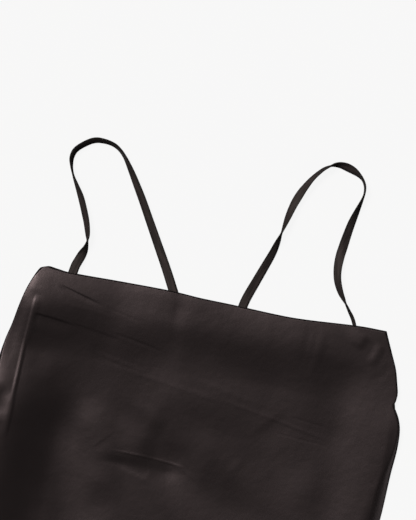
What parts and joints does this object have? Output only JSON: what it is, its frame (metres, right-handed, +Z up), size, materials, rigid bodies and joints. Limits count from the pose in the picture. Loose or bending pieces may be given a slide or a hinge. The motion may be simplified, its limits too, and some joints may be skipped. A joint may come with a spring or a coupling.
{
  "type": "slip dress",
  "caption": "Slip dress laid flat: straight neckline, gently waisted body, long flared skirt and narrow twisted shoulder straps, in dark brown satin.",
  "frame": {"origin": "on the surface that the dress lies on, under the centre of its bounding box", "axes": "+Z up from the surface, +Y from the hem towards the straps along the centre line, +X to the right as seen from above with the straps at the top"},
  "size_m": [0.5984, 1.1675, 0.0168],
  "materials": {
    "body_satin": "very dark brown satin with a soft sheen",
    "strap_satin": "very dark brown satin ribbon"
  },
  "bodies": {
    "root": {"front_panel": "body_satin", "back_panel": "body_satin", "strap_left": "strap_satin", "strap_right": "strap_satin"}
  },
  "joints": []
}
